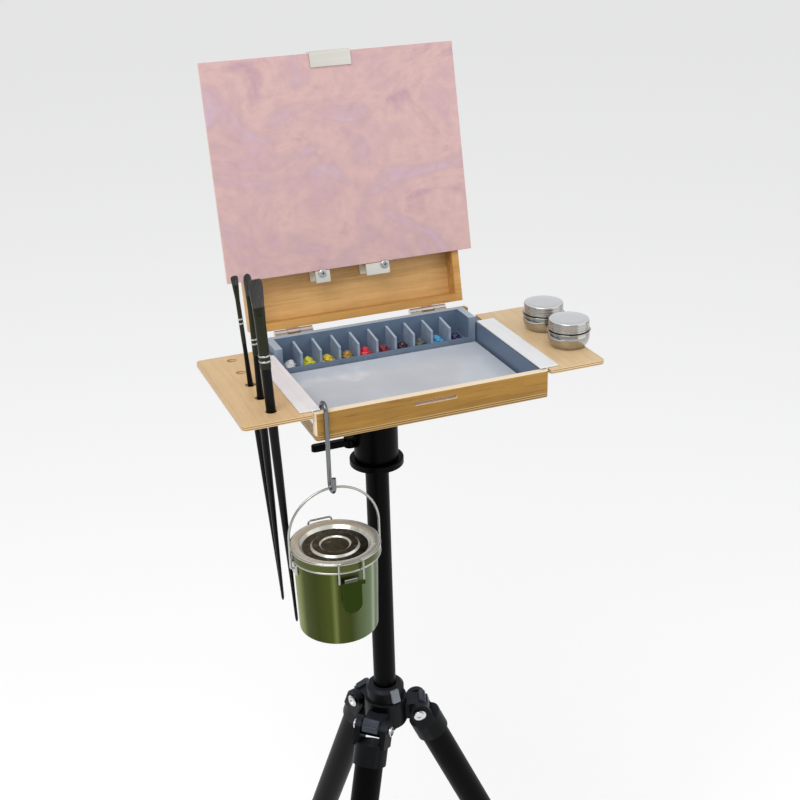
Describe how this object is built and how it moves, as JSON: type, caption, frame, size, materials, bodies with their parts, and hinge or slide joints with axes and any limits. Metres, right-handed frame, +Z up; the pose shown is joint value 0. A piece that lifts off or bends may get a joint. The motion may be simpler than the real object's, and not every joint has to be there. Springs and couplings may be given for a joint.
{
  "type": "travel easel with paint box and tripod",
  "caption": "Travel easel: a shallow wooden paint box with an upright lid that holds a panel, wing shelves, a hanging brush washer, a ball head and a tripod.",
  "frame": {"origin": "on the floor, in the middle of the easel's footprint box", "axes": "+Z up, +X to the right and +Y to the rear as the painter faces the box"},
  "size_m": [0.526, 0.5352, 1.3945],
  "materials": {
    "varnished_wood": "clear varnish, fine straight grain",
    "plywood": "pale birch plywood, clear satin varnish",
    "grey_paint": "blue-grey satin paint on wood",
    "palette_glass": "clear glass over blue-grey paint",
    "oil_paint": "thick wet oil colour",
    "aluminium": "satin anodised",
    "steel": "polished and brushed stainless steel",
    "canvas": "primed canvas with a thin pink ground",
    "brush_lacquer": "black lacquer",
    "black_anodised": "black satin anodised",
    "black_rubber": "ribbed black rubber",
    "tripod_casting": "dark powder-coated casting"
  },
  "bodies": {
    "tripod": {"spider": "tripod_casting", "leg_axles": "steel"},
    "collar": {"lock_collar": "tripod_casting"},
    "column": {"column": "black_anodised", "platform": "black_anodised"},
    "head": {"head_body": "black_anodised"},
    "head_lever": {"head_lever": "black_anodised"},
    "box": {"box_bottom": "plywood", "box_front": "varnished_wood", "box_rear": "varnished_wood", "box_sides": "varnished_wood", "palette_glass": "palette_glass", "paint_tray": "grey_paint", "tray_dividers": "grey_paint", "paint_dabs": "oil_paint", "wing_channels": "aluminium", "box_hinges": "steel", "mount_plate": "black_anodised", "head_clamp": "black_anodised"},
    "lid": {"lid_back": "varnished_wood", "lid_rails": "varnished_wood", "mast_guide": "varnished_wood", "ledge_clips": "aluminium", "ledge_screws": "steel", "lid_hinges": "steel"},
    "mast": {"mast": "aluminium", "top_clip": "aluminium"},
    "panel": {"canvas_panel": "canvas"},
    "wing_left": {"wing_left": "plywood"},
    "wing_right": {"wing_right": "plywood"},
    "brush_1": {"brush_1": "brush_lacquer"},
    "brush_2": {"brush_2": "brush_lacquer"},
    "brush_3": {"brush_3": "brush_lacquer"},
    "cup_front": {"cup_front": "steel"},
    "cup_front_lid": {"cup_front_lid": "steel"},
    "cup_rear": {"cup_rear": "steel"},
    "cup_rear_lid": {"cup_rear_lid": "steel"},
    "hook": {"can_hook": "steel"},
    "bail": {"can_bail": "steel"},
    "can": {"can_body": "steel", "can_strainer": "steel", "can_fittings": "steel"},
    "can_lid": {"can_lid": "steel"},
    "latch_front": {"latch_front": "steel"},
    "latch_back": {"latch_back": "steel"},
    "leg_1": {"leg_1_casting": "tripod_casting", "leg_1_upper": "black_anodised"},
    "leg_1_lock": {"leg_1_lock": "black_rubber"},
    "leg_1_lower": {"leg_1_lower": "black_anodised", "leg_1_foot": "black_rubber"},
    "leg_2": {"leg_2_casting": "tripod_casting", "leg_2_upper": "black_anodised"},
    "leg_2_lock": {"leg_2_lock": "black_rubber"},
    "leg_2_lower": {"leg_2_lower": "black_anodised", "leg_2_foot": "black_rubber"},
    "leg_3": {"leg_3_casting": "tripod_casting", "leg_3_upper": "black_anodised"},
    "leg_3_lock": {"leg_3_lock": "black_rubber"},
    "leg_3_lower": {"leg_3_lower": "black_anodised", "leg_3_foot": "black_rubber"}
  },
  "joints": [
    {"name": "collar_turn", "type": "hinge", "parent": "tripod", "child": "collar", "pos_m": [-0.04307, -0.03314, 0.60737], "axis": [0, 0, 1], "range_deg": [-45, 45]},
    {"name": "column_slide", "type": "slide", "parent": "tripod", "child": "column", "axis": [0, 0, 1], "range_m": [-0.27, 0]},
    {"name": "head_pan", "type": "hinge", "parent": "column", "child": "head", "pos_m": [-0.04307, -0.03314, 0.94937], "axis": [0, 0, 1], "range_deg": [-90, 90]},
    {"name": "head_lever_swing", "type": "hinge", "parent": "head", "child": "head_lever", "pos_m": [-0.07597, -0.03314, 0.97137], "axis": [0, 0, 1], "range_deg": [-50, 50]},
    {"name": "head_tilt", "type": "hinge", "parent": "head", "child": "box", "pos_m": [-0.04307, -0.03314, 0.98137], "axis": [1, 0, 0], "range_deg": [-10, 10]},
    {"name": "lid_hinge", "type": "hinge", "parent": "box", "child": "lid", "pos_m": [-0.02107, 0.06186, 1.08437], "axis": [-1, 0, 0], "range_deg": [-98, 10]},
    {"name": "mast_slide", "type": "slide", "parent": "lid", "child": "mast", "axis": [0, 0.2147, 0.9767], "range_m": [0, 0.05]},
    {"name": "panel_slide", "type": "slide", "parent": "lid", "child": "panel", "axis": [1, 0, 0], "range_m": [0, 0.1]},
    {"name": "wing_left_slide", "type": "slide", "parent": "box", "child": "wing_left", "axis": [-1, 0, 0], "range_m": [0, 0.03]},
    {"name": "wing_right_slide", "type": "slide", "parent": "box", "child": "wing_right", "axis": [1, 0, 0], "range_m": [0, 0.03]},
    {"name": "brush_1_lift", "type": "slide", "parent": "wing_left", "child": "brush_1", "axis": [-0.068, 0, 0.9977], "range_m": [0, 0.1]},
    {"name": "brush_2_lift", "type": "slide", "parent": "wing_left", "child": "brush_2", "axis": [-0.0332, 0, 0.9995], "range_m": [0, 0.1]},
    {"name": "brush_3_lift", "type": "slide", "parent": "wing_left", "child": "brush_3", "axis": [-0.0471, 0, 0.9989], "range_m": [0, 0.1]},
    {"name": "cup_front_lift", "type": "slide", "parent": "wing_right", "child": "cup_front", "axis": [0, 0, 1], "range_m": [0, 0.03]},
    {"name": "cup_front_lid_lift", "type": "slide", "parent": "cup_front", "child": "cup_front_lid", "axis": [0, 0, 1], "range_m": [0, 0.02]},
    {"name": "cup_rear_lift", "type": "slide", "parent": "wing_right", "child": "cup_rear", "axis": [0, 0, 1], "range_m": [0, 0.03]},
    {"name": "cup_rear_lid_lift", "type": "slide", "parent": "cup_rear", "child": "cup_rear_lid", "axis": [0, 0, 1], "range_m": [0, 0.02]},
    {"name": "hook_lift", "type": "slide", "parent": "box", "child": "hook", "axis": [0, 0, 1], "range_m": [0, 0.012]},
    {"name": "bail_sway", "type": "hinge", "parent": "hook", "child": "bail", "pos_m": [-0.14507, -0.17304, 0.99782], "axis": [0, 1, 0], "range_deg": [-6, 2]},
    {"name": "can_swing", "type": "hinge", "parent": "bail", "child": "can", "pos_m": [-0.14507, -0.17304, 0.91052], "axis": [1, 0, 0], "range_deg": [-15, 4]},
    {"name": "can_lid_lift", "type": "slide", "parent": "can", "child": "can_lid", "axis": [0, 0, 1], "range_m": [0, 0.01]},
    {"name": "latch_front_swing", "type": "hinge", "parent": "can", "child": "latch_front", "pos_m": [-0.14507, -0.22324, 0.87252], "axis": [1, 0, 0], "range_deg": [0, 50]},
    {"name": "latch_back_swing", "type": "hinge", "parent": "can", "child": "latch_back", "pos_m": [-0.14507, -0.12284, 0.87252], "axis": [-1, 0, 0], "range_deg": [0, 50]},
    {"name": "leg_1_splay", "type": "hinge", "parent": "tripod", "child": "leg_1", "pos_m": [-0.07172, -0.06386, 0.58637], "axis": [-0.7314, 0.682, 0], "range_deg": [-21, 0]},
    {"name": "leg_1_extend", "type": "slide", "parent": "leg_1", "child": "leg_1_lower", "axis": [-0.2774, -0.2975, -0.9135], "range_m": [-0.19, 0]},
    {"name": "leg_1_lock_turn", "type": "hinge", "parent": "leg_1", "child": "leg_1_lock", "pos_m": [-0.16464, -0.16351, 0.28034], "axis": [-0.2774, -0.2975, -0.9135], "range_deg": [-45, 45]},
    {"name": "leg_2_splay", "type": "hinge", "parent": "tripod", "child": "leg_2", "pos_m": [-0.00215, -0.04259, 0.58637], "axis": [-0.225, -0.9744, 0], "range_deg": [-21, 0]},
    {"name": "leg_2_extend", "type": "slide", "parent": "leg_2", "child": "leg_2_lower", "axis": [0.3963, -0.0915, -0.9135], "range_m": [-0.19, 0]},
    {"name": "leg_2_lock_turn", "type": "hinge", "parent": "leg_2", "child": "leg_2_lock", "pos_m": [0.13062, -0.07324, 0.28034], "axis": [0.3963, -0.0915, -0.9135], "range_deg": [-45, 45]},
    {"name": "leg_3_splay", "type": "hinge", "parent": "tripod", "child": "leg_3", "pos_m": [-0.05535, 0.00703, 0.58637], "axis": [0.9563, 0.2924, 0], "range_deg": [-21, 0]},
    {"name": "leg_3_extend", "type": "slide", "parent": "leg_3", "child": "leg_3_lower", "axis": [-0.1189, 0.389, -0.9135], "range_m": [-0.19, 0]},
    {"name": "leg_3_lock_turn", "type": "hinge", "parent": "leg_3", "child": "leg_3_lock", "pos_m": [-0.09519, 0.13733, 0.28034], "axis": [-0.1189, 0.389, -0.9135], "range_deg": [-45, 45]}
  ]
}
